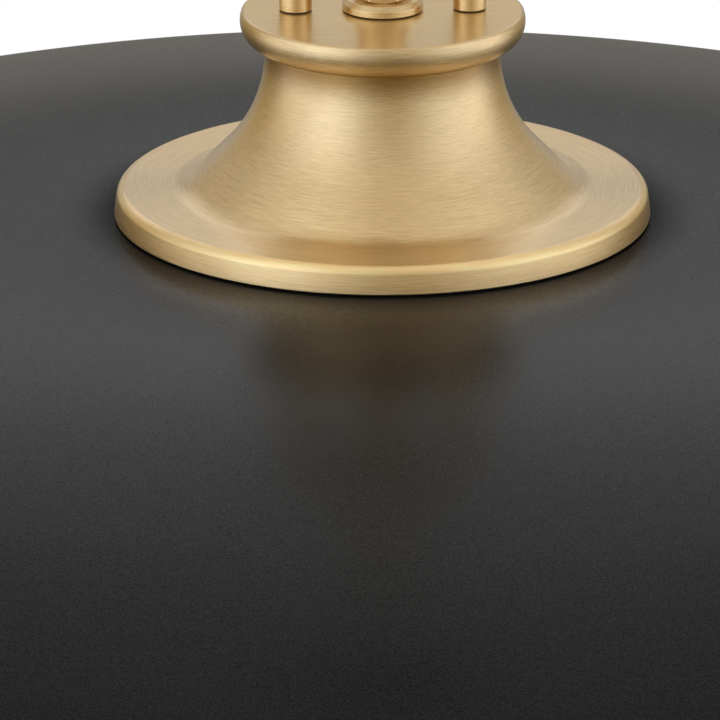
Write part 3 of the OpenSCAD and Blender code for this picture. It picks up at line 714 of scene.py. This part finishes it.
piece(barMesh(), "pendant", "satin_brass", ["yoke_bar"], brassFlatShaded)
head = {"r": 5.5, "height": 4.0, "socket": 1.75, "depth": 2.0, "shank": 2.5, "length": 24.0}
barScrews = merge("barScrews", [
    buttonScrew(f"barScrew{side}", head, at(side * post["x"], 0, barHigh)) for side in (-1, 1)])
piece(barScrews, "pendant", "satin_brass", ["bar_screws"], brass)
sleeveSize = {"r": 7.0, "bore": 5.35, "edge": 0.3}
plainTube("pipeSleeve", "pipe_sleeve", sleeveSize, 96, "pendant", "satin_brass", brass)
pipeSize = {"r": 5.15, "bore": 3.3, "edge": 0.4}
plainTube("centerPipe", "center_pipe", pipeSize, 96, "pendant", "zinc_steel", zinc)
print("stage: yoke")


# Stem, coupling and socket

stem = {"r": 6.35, "bore": 4.85, "edge": 0.3}
for name, node in (("upperStem", "upper_stem"), ("lowerStem", "lower_stem")):
    plainTube(name, node, stem, 96, "pendant", "satin_brass", brass)

coupling = {"r": 8.0, "bore": 6.4, "band": 4.2, "step": 0.5, "mouth": 0.2, "edge": 0.9, "lip": 0.25}
low, high = level("stem_coupling")
waist, rise = coupling["r"] - coupling["step"], coupling["band"] + coupling["step"]
stemCoupling = lathe("stemCoupling", [
    (coupling["bore"], low, coupling["mouth"]),
    (coupling["r"], low, coupling["edge"]),
    (coupling["r"], low + coupling["band"], coupling["lip"]),
    (waist, low + rise, coupling["lip"]),
    (waist, high - rise, coupling["lip"]),
    (coupling["r"], high - coupling["band"], coupling["lip"]),
    (coupling["r"], high, coupling["edge"]),
    (coupling["bore"], high, coupling["mouth"]),
], 112)
piece(stemCoupling, "pendant", "satin_brass", ["stem_coupling"], brass)

socket = {"r": 10.0, "pipe": 5.2, "bore": 6.4, "seat": 8.0, "groove": 5.5, "deep": 0.6, "mouth": 0.2,
          "edge": 0.6, "lip": 0.3, "shoulder": 2.2}
low, high = level("stem_socket")
grooveZ = low + socket["groove"]
stemSocket = lathe("stemSocket", [
    (socket["pipe"], low, socket["mouth"]),
    (socket["r"], low, socket["edge"]),
    (socket["r"], grooveZ, socket["lip"]),
    (socket["r"] - socket["deep"], grooveZ + socket["deep"], socket["lip"]),
    (socket["r"], grooveZ + 2 * socket["deep"], socket["lip"]),
    (socket["r"], high, socket["shoulder"]),
    (socket["bore"], high, socket["mouth"]),
    (socket["bore"], low + socket["seat"]),
    (socket["pipe"], low + socket["seat"]),
], 112)
piece(stemSocket, "pendant", "satin_brass", ["stem_socket"], brass)
print("stage: stem")


# Ceiling canopy and swivel

canopySize = {"r": 64.0, "wall": 1.5, "corner": 9.0, "hole": 5.35, "height": 24.0, "edge": 0.4}
low = -canopySize["height"]
canopyC = (canopySize["r"] - canopySize["corner"], low + canopySize["corner"])
canopy = lathe("canopy", [
    (canopySize["hole"], low),
    arc(canopyC, canopySize["corner"], -90, 0),
    (canopySize["r"], 0, canopySize["edge"]),
    (canopySize["r"] - canopySize["wall"], 0, canopySize["edge"]),
    arc(canopyC, canopySize["corner"] - canopySize["wall"], 0, -90),
    (canopySize["hole"], low + canopySize["wall"]),
], 240)
piece(canopy, "ceiling_mount", "satin_brass", ["canopy"], brass)

spindle = {"bore": 3.3, "tail": 5.0, "neck": 6.5, "flange": 15.0, "thick": 7.0, "pipe": 5.2, "seat": 6.0,
           "mouth": 0.3, "tip": 0.5, "lip": 0.2, "under": 1.0, "rim": 0.5}
spindleZ, spindleTop = level("swivel_spindle")
retainerTop = level("spindle_retainer")[1]
swivelSpindle = lathe("swivelSpindle", [
    (spindle["bore"], spindleZ, spindle["mouth"]),
    (spindle["tail"], spindleZ, spindle["tip"]),
    (spindle["tail"], retainerTop),
    (spindle["neck"], retainerTop, spindle["lip"]),
    (spindle["neck"], spindleTop - spindle["thick"]),
    (spindle["flange"], spindleTop - spindle["thick"], spindle["under"]),
    (spindle["flange"], spindleTop, spindle["rim"]),
    (spindle["pipe"], spindleTop),
    (spindle["pipe"], spindleTop - spindle["seat"]),
    (spindle["bore"], spindleTop - spindle["seat"]),
], 120)
piece(swivelSpindle, "ceiling_mount", "satin_brass", ["swivel_spindle"], brass)
retainerSize = {"r": 8.5, "bore": 5.05, "edge": 0.4}
plainTube("spindleRetainer", "spindle_retainer", retainerSize, 96, "ceiling_mount", "zinc_steel", zinc)
plainTube("strapNipple", "strap_nipple", pipeSize, 96, "ceiling_mount", "zinc_steel", zinc)

earth = {"r": 4.0, "height": 2.6, "socket": 1.2, "depth": 1.3, "shank": 2.0, "length": 2.5}
earthLow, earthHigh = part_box("earth_screw")
earthPlace = Matrix.Translation(((earthLow.x + earthHigh.x) / 2, 0, -earth["length"] * mm))
earthScrew = buttonScrew("earthScrew", earth, earthPlace @ Matrix.Rotation(math.pi, 4, "X"))
piece(earthScrew, "ceiling_mount", "green_paint", ["earth_screw"], green)

pivot = {"r": 6.0, "height": 3.0, "socket": 2.0, "depth": 1.7, "shank": 3.0, "length": 32.0, "seat": 13.0}
pivotNutSize = {"across": 11.0, "height": 6.0, "bore": 3.05}
pivotLow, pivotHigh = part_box("pivot_screw")
pivotZ = (pivotLow.z + pivotHigh.z) / 2 / mm
screwPlace = at(0, -pivot["seat"], pivotZ) @ Matrix.Rotation(math.pi / 2, 4, "X")
piece(buttonScrew("pivotScrew", pivot, screwPlace), "swivel", "satin_brass", ["pivot_screw"], brass)
nutPlace = at(0, pivot["seat"], pivotZ) @ Matrix.Rotation(-math.pi / 2, 4, "X")
piece(hexNut("pivotNut", pivotNutSize, nutPlace), "swivel", "satin_brass", ["pivot_nut"], brass)
print("stage: ceiling mount")


# Lamp cluster: ball, cover, finial and three lampholders with lamps

ball = {"r": 30.0, "wall": 2.5, "seat": 29.0, "innerSeat": 26.97, "open": 23.0, "hole": 5.35}
ballZ = level("cluster_cover")[1] + ball["open"]
inside = ball["r"] - ball["wall"]


def ballAngle(r, depth):
    return -math.degrees(math.asin(depth / r))


cover = lathe("clusterCover", [
    (ball["hole"], ballZ - ball["seat"]),
    arc((0, ballZ), ball["r"], ballAngle(ball["r"], ball["seat"]), ballAngle(ball["r"], ball["open"])),
    arc((0, ballZ), inside, ballAngle(inside, ball["open"]), ballAngle(inside, ball["innerSeat"])),
], 128)
piece(cover, "pendant", "black_paint", ["cluster_cover"], black)

knob = {"top": 7.5, "r": 6.0, "collar": 0.25, "step": 0.8, "ease": 0.5}
finialLow, finialTop = level("finial")
knobZ = finialTop - (finialTop - finialLow) * knob["collar"]
finial = lathe("finial", [
    (0, finialLow),
    arc((0, finialLow + knob["r"]), knob["r"], -90, 0),
    (knob["r"], knobZ - knob["step"], knob["ease"]),
    (knob["top"], knobZ, knob["ease"]),
    (knob["top"], finialTop, knob["ease"]),
    (0, finialTop),
], 96)
piece(finial, "pendant", "satin_brass", ["finial"], brass)

# Heights in these five are along a lamp's own axis, from the middle of the ball
holder = {"seat": 36.0, "length": 39.0, "r": 18.0, "wall": 1.5, "floor": 2.5, "bore": 4.0, "shoulder": 3.0,
          "groove": 7.0, "deep": 0.5, "lip": 0.3, "rim": 0.5}
core = {"z": 38.5, "r": 16.3, "bore": 14.0, "floor": 5.5, "rise": 25.0, "rivet": 2.0, "foot": 0.5, "rim": 0.8,
        "lip": 0.6}
shell = {"z": 44.0, "outer": 13.95, "inner": 13.35, "length": 24.0, "edge": 0.15}
contact = {"z": 44.0, "r": 4.5, "height": 1.0, "rivet": 1.95, "rivetLength": 4.5, "foot": 0.15, "edge": 0.4}
lamp = {"tip": 45.3, "tipR": 4.5, "tipRound": 1.2, "gap": 0.06, "cap": 47.6, "capR": 13.0, "cone": 3.6,
        "capL": 24.6, "bulb": 72.2, "bulbR": 30.0, "bulbL": 83.4, "neck": 14.0, "neckL": 4.0, "wall": 1.2,
        "lip": 0.3, "edge": 0.4}
capForm = {"foot": 1.0, "inset": 1.2, "below": 0.2, "above": 0.8, "root": 0.75, "band": 2.2, "flare": 1.0,
           "ease": 0.4, "bend": 0.5, "rim": 0.3, "glass": 0.3, "glassR": 1.0}
ridge = {"r": 0.62, "pitch": 3.629, "turns": 4.6, "start": 1.6, "perTurn": 64, "round": 12}
spacing = {"first": 90, "apart": 120, "lean": 120}
bulbC = lamp["bulb"] + lamp["bulbL"] - lamp["bulbR"]
flareZ = lamp["bulb"] + lamp["neckL"]
flareR = (lamp["neck"] ** 2 + (bulbC - flareZ) ** 2 - lamp["bulbR"] ** 2) \
    / (2 * (lamp["bulbR"] - lamp["neck"]))
flareC = (lamp["neck"] + flareR, flareZ)
joinAngle = math.degrees(math.atan2(flareC[1] - bulbC, flareC[0]))


def threadTree():
    # A rounded ridge that climbs in a helix, for a lamp's screw cap
    tree = bpy.data.node_groups.new("lampThread", "GeometryNodeTree")
    kinds = dict.fromkeys(("Radius", "Pitch", "Turns", "Ridge"), "NodeSocketFloat")
    kinds |= {"Start": "NodeSocketVector", "Turned": "NodeSocketRotation", "Metal": "NodeSocketMaterial"}
    for name, kind in kinds.items():
        tree.interface.new_socket(name, in_out="INPUT", socket_type=kind)
    tree.interface.new_socket("Geometry", in_out="OUTPUT", socket_type="NodeSocketGeometry")
    source = tree.nodes.new("NodeGroupInput").outputs
    path = add(tree, "GeometryNodeCurveSpiral", {
        "Resolution": ridge["perTurn"], "Rotations": source["Turns"], "Start Radius": source["Radius"],
        "End Radius": source["Radius"], "Height": times(tree, source["Pitch"], source["Turns"])})
    ring = add(tree, "GeometryNodeCurvePrimitiveCircle", {
        "Resolution": ridge["round"], "Radius": source["Ridge"]})
    swept = add(tree, "GeometryNodeCurveToMesh", {
        "Curve": path.outputs["Curve"], "Profile Curve": ring.outputs["Curve"], "Fill Caps": True})
    smooth = add(tree, "GeometryNodeSetShadeSmooth", {"Geometry": swept.outputs["Mesh"]})
    placed = add(tree, "GeometryNodeTransform", {
        "Geometry": smooth.outputs[0], "Translation": source["Start"], "Rotation": source["Turned"]})
    solid = add(tree, "GeometryNodeRealizeInstances", {"Geometry": placed.outputs[0]})
    coat = add(tree, "GeometryNodeSetMaterial", {"Geometry": solid.outputs[0], "Material": source["Metal"]})
    add(tree, "NodeGroupOutput", {"Geometry": coat.outputs[0]})
    return tree


def grown(name, tree, values):
    # The evaluated result of a node tree as a plain mesh object
    carrier = linked(name + "Carrier", bpy.data.meshes.new(name + "Carrier"))
    modifier = carrier.modifiers.new("grow", "NODES")
    modifier.node_group = tree
    sockets = {s.name: s.identifier for s in tree.interface.items_tree if s.in_out == "INPUT"}
    for key, value in values.items():
        modifier[sockets[key]] = value
    carrier.update_tag()
    view = bpy.context.evaluated_depsgraph_get()
    mesh = bpy.data.meshes.new_from_object(carrier.evaluated_get(view))
    bpy.data.objects.remove(carrier)
    return linked(name, mesh)


def addHolder(k, place):
    base, top = holder["seat"], holder["seat"] + holder["length"]
    grooveLow, bore = top - holder["groove"], holder["r"] - holder["wall"]
    made = lathe(f"holderShell{k}", [
        (holder["bore"], base),
        (holder["r"], base, holder["shoulder"]),
        (holder["r"], grooveLow, holder["lip"]),
        (holder["r"] - holder["deep"], grooveLow + holder["deep"], holder["lip"]),
        (holder["r"], grooveLow + 2 * holder["deep"], holder["lip"]),
        (holder["r"], top, holder["rim"]),
        (bore, top, holder["lip"]),
        (bore, base + holder["floor"]),
        (holder["bore"], base + holder["floor"]),
    ], 128, None, place)
    piece(made, "pendant", "satin_brass", [f"holder_shell_{k}"], brass)
    base, floor = core["z"], core["z"] + core["floor"]
    top = floor + core["rise"]
    made = lathe(f"holderCore{k}", [
        (core["rivet"], base),
        (core["r"], base, core["foot"]),
        (core["r"], top, core["rim"]),
        (core["bore"], top, core["lip"]),
        (core["bore"], floor),
        (core["rivet"], floor),
    ], 112, None, place)
    piece(made, "pendant", "white_insulator", [f"holder_core_{k}"], glaze)
    top = shell["z"] + shell["length"]
    wall = tube(shell["outer"], shell["inner"], shell["z"], top, shell["edge"])
    made = lathe(f"screwShell{k}", wall, 112, None, place)
    piece(made, "pendant", "bare_brass", [f"screw_shell_{k}"], bareBrass)
    base, top = contact["z"] - contact["rivetLength"], contact["z"] + contact["height"]
    made = lathe(f"centerContact{k}", [
        (0, base),
        (contact["rivet"], base),
        (contact["rivet"], contact["z"]),
        (contact["r"], contact["z"], contact["foot"]),
        (contact["r"], top, contact["edge"]),
        (0, top),
    ], 64, None, place)
    piece(made, "pendant", "bare_brass", [f"center_contact_{k}"], bareBrass)


def addLamp(k, place, thread):
    tipR, tipZ, tipTop = lamp["tipR"], lamp["tip"], lamp["cap"] - lamp["gap"]
    tip = [(0, tipZ), (tipR, tipZ, lamp["tipRound"]), (tipR, tipTop), (0, tipTop)]
    made = lathe(f"lampTip{k}", tip, 64, None, place)
    piece(made, f"lamp_{k}_tip", "lamp_metal", [f"lamp_tip_{k}"], lampMetal)
    base, glassTop, top = lamp["cap"], lamp["cap"] + lamp["cone"], lamp["cap"] + lamp["capL"]
    root, bandZ = lamp["capR"] - capForm["root"], top - capForm["band"]
    made = lathe(f"lampCap{k}", [
        (0, base),
        (tipR + capForm["foot"], base, capForm["ease"]),
        (lamp["capR"] - capForm["inset"], glassTop - capForm["below"], capForm["bend"]),
        (root, glassTop + capForm["above"], capForm["ease"]),
        (root, bandZ - capForm["flare"], capForm["ease"]),
        (lamp["capR"], bandZ, capForm["ease"]),
        (lamp["capR"], top, capForm["rim"]),
        (0, top),
    ], 112, lambda r, z, nr, nz: int(z < glassTop - capForm["glass"] and r > capForm["glassR"]), place)
    piece(made, f"lamp_{k}", "lamp_metal", [f"lamp_cap_{k}"], lampMetal, vitrite)
    made = grown(f"lampThread{k}", thread, {
        "Radius": root * mm, "Pitch": ridge["pitch"] * mm, "Turns": ridge["turns"], "Ridge": ridge["r"] * mm,
        "Start": place @ Vector((0, 0, (glassTop + ridge["start"]) * mm)), "Turned": place.to_euler(),
        "Metal": zinc})
    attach(made, f"lamp_{k}")
    made = lathe(f"lampBulb{k}", [
        (lamp["neck"] - lamp["wall"], lamp["bulb"], lamp["lip"]),
        (lamp["neck"], lamp["bulb"], lamp["edge"]),
        arc(flareC, flareR, 180, 180 + joinAngle),
        arc((0, bulbC), lamp["bulbR"], joinAngle, 90),
        arc((0, bulbC), lamp["bulbR"] - lamp["wall"], 90, joinAngle),
        arc(flareC, flareR + lamp["wall"], 180 + joinAngle, 180),
    ], 128, None, place)
    piece(made, f"lamp_{k}", "opal_glass", [f"lamp_bulb_{k}"], opal)


thread = threadTree()
for k in (1, 2, 3):
    around = math.radians(spacing["first"] + spacing["apart"] * (k - 1))
    place = at(0, 0, ballZ) @ Matrix.Rotation(around, 4, "Z") \
        @ Matrix.Rotation(math.radians(spacing["lean"]), 4, "Y")
    addHolder(k, place)
    addLamp(k, place, thread)
print("stage: lamp cluster")


# CAD pieces that keep their own meshes

for node, coat in (("mounting_strap", zinc), ("swivel_clevis", brassCad), ("swivel_tongue", brassCad),
                   ("pivot_washers", rubber), ("foot_screws", zinc), ("cluster_ball", blackCad)):
    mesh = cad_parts[node].data
    mesh.materials.clear()
    mesh.materials.append(coat)
print("stage: CAD finishes")


# Floor, light and camera

white = (1, 1, 1, 1)


def studioFloor():
    # Pale under the part and white further out. Its bounce light is even, and it is clear from below
    # and to glossy rays
    look = {"half": 60.0, "drop": 0.12, "near": 450.0, "far": 1150.0, "paint": (0.86, 0.86, 0.855, 1),
            "bounce": (0.9, 0.9, 0.9, 1), "bounceLevel": 0.8}
    half, z = look["half"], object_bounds()[0].z - look["drop"]
    corners = [(-half, -half, z), (half, -half, z), (half, half, z), (-half, half, z)]
    mesh = bpy.data.meshes.new("floor")
    mesh.from_pydata(corners, [], [(0, 1, 2, 3)])
    linked("floor", mesh)
    coat = bpy.data.materials.new("paleFloor")
    coat.use_nodes = True
    tree = coat.node_tree
    tree.nodes.clear()
    rays = add(tree, "ShaderNodeLightPath").outputs
    away = ease(tree, radius(tree, objectPlace(tree)), look["near"], look["far"])
    seen = calc(tree, "MAXIMUM", rays["Is Camera Ray"], rays["Is Transmission Ray"])
    paint = add(tree, "ShaderNodeBsdfDiffuse", {"Color": look["paint"]}).outputs[0]
    bright = add(tree, "ShaderNodeEmission", {"Color": white, "Strength": 1.0}).outputs[0]
    shown = mixShader(tree, times(tree, away, seen), paint, bright)
    bounce = add(tree, "ShaderNodeEmission", {
        "Color": look["bounce"], "Strength": look["bounceLevel"]}).outputs[0]
    upper = mixShader(tree, rays["Is Diffuse Ray"], shown, bounce)
    below = times(tree, add(tree, "ShaderNodeNewGeometry").outputs["Backfacing"], rays["Is Camera Ray"])
    clear = add(tree, "ShaderNodeBsdfTransparent").outputs[0]
    both = mixShader(tree, calc(tree, "MAXIMUM", below, rays["Is Glossy Ray"]), upper, clear)
    add(tree, "ShaderNodeOutputMaterial", {"Surface": both})
    mesh.materials.append(coat)


def studioWorld():
    # White to the camera. For light, a backdrop that is bright above a dark band stands behind the part,
    # with a dimmer room in front and soft lights at the sides. Angles are in degrees, a bearing of 0 is the
    # camera's side, and each stop gives an angle above the horizon, a brightness and a warmth
    look = {"front": ((-90, 0.05, 0.7), (-16, 0.08, 0.7), (-8, 0.34, 0.7), (0, 0.46, 0.6), (10, 0.45, 0.4),
                      (20, 0.45, 0.2), (30, 0.49, 0.08), (40, 0.58, 0.04), (60, 0.73, 0.07),
                      (90, 0.92, 0.07)),
            "back": ((-90, 0.08, 0.3), (-10, 0.30, 0.2), (0, 0.44, 0.15), (5, 0.48, 0.1), (8, 0.56, 0.08),
                     (10, 0.48, 0.05), (12, 0.12, 0.05), (14, 0.02, 0.05), (16, 0.10, 0.02),
                     (17.3, 0.46, 0.02), (18.5, 0.76, 0), (20, 0.90, 0), (23, 1.15, 0), (26, 1.25, 0),
                     (30, 0.90, 0), (45, 0.80, 0), (60, 0.94, 0.03), (90, 0.92, 0.07)),
            "behind": (138, 172)}
    lights = ({"side": -53, "up": 5, "wide": 35, "tall": 38, "bright": 1.17, "warm": -0.6},
              {"side": 67, "up": 5, "wide": 40, "tall": 38, "bright": 0.81, "warm": -0.6},
              {"side": -97, "up": -12, "wide": 20, "tall": 20, "bright": 0.85, "warm": -0.2},
              {"side": 97, "up": -12, "wide": 20, "tall": 20, "bright": 0.85, "warm": -0.2})
    world = bpy.data.worlds.new("studio")
    scene.world = world
    world.use_nodes = True
    tree = world.node_tree
    tree.nodes.clear()
    degree = 180 / math.pi
    way = split(tree, add(tree, "ShaderNodeTexCoord").outputs["Generated"])
    rise = times(tree, calc(tree, "ARCSINE", way["Z"]), degree)
    bearing = times(tree, calc(tree, "ARCTAN2", way["X"], times(tree, way["Y"], -1.0)), degree)

    def tone(bright, warm):
        return bright, bright * (1 - warm / 3), bright * (1 - warm)

    def ladder(stops):
        ramp = add(tree, "ShaderNodeValToRGB", {"Fac": spread(tree, rise, 0, 1, -90, 90)})
        while len(ramp.color_ramp.elements) < len(stops):
            ramp.color_ramp.elements.new(0.5)
        for element, (angle, bright, warm) in zip(ramp.color_ramp.elements, stops):
            element.position = (angle + 90) / 180
            element.color = (*tone(bright, warm), 1)
        return ramp.outputs["Color"]

    def apart(value, middle, reach):
        return calc(tree, "POWER", times(tree, calc(tree, "ADD", value, -middle), 1 / reach), 2.0)

    turned = calc(tree, "ABSOLUTE", bearing)
    behind = spread(tree, turned, 0, 1, *look["behind"], interpolation_type="SMOOTHSTEP")
    total = tint(tree, behind, ladder(look["front"]), ladder(look["back"]))
    for light in lights:
        across = apart(bearing, light["side"], light["wide"])
        above = apart(rise, light["up"], light["tall"])
        fade = calc(tree, "EXPONENT", times(tree, calc(tree, "ADD", across, above), -1.0))
        glow = add(tree, "ShaderNodeVectorMath", {
            0: tone(light["bright"], light["warm"]), "Scale": fade}, operation="SCALE").outputs[0]
        total = vector(tree, "ADD", total, glow)
    rays = add(tree, "ShaderNodeLightPath").outputs
    sky = add(tree, "ShaderNodeBackground", {"Color": total, "Strength": 1.0}).outputs[0]
    plain = add(tree, "ShaderNodeBackground", {"Color": white, "Strength": 1.0}).outputs[0]
    add(tree, "ShaderNodeOutputWorld", {"Surface": mixShader(tree, rays["Is Camera Ray"], sky, plain)})


studioFloor()
studioWorld()

view = {"distance": 1.631, "height": 0.5276, "azimuth": -2.0, "pitch": 19.376, "yaw": 0.2267, "lens": 296.95,
        "sensor": 36.0, "near": 0.01, "far": 200.0}
camera = linked("camera", bpy.data.cameras.new("camera"))
turn = math.radians(view["azimuth"])
camera.location = (math.sin(turn) * view["distance"], -math.cos(turn) * view["distance"],
                   flangeZ * mm + view["height"])
camera.rotation_euler = (math.radians(90 - view["pitch"]), 0, turn + math.radians(view["yaw"]))
camera.data.lens = view["lens"]
camera.data.sensor_width = view["sensor"]
camera.data.clip_start, camera.data.clip_end = view["near"], view["far"]
scene.camera = camera
scene.view_settings.view_transform = "Standard"
print("stage: studio")
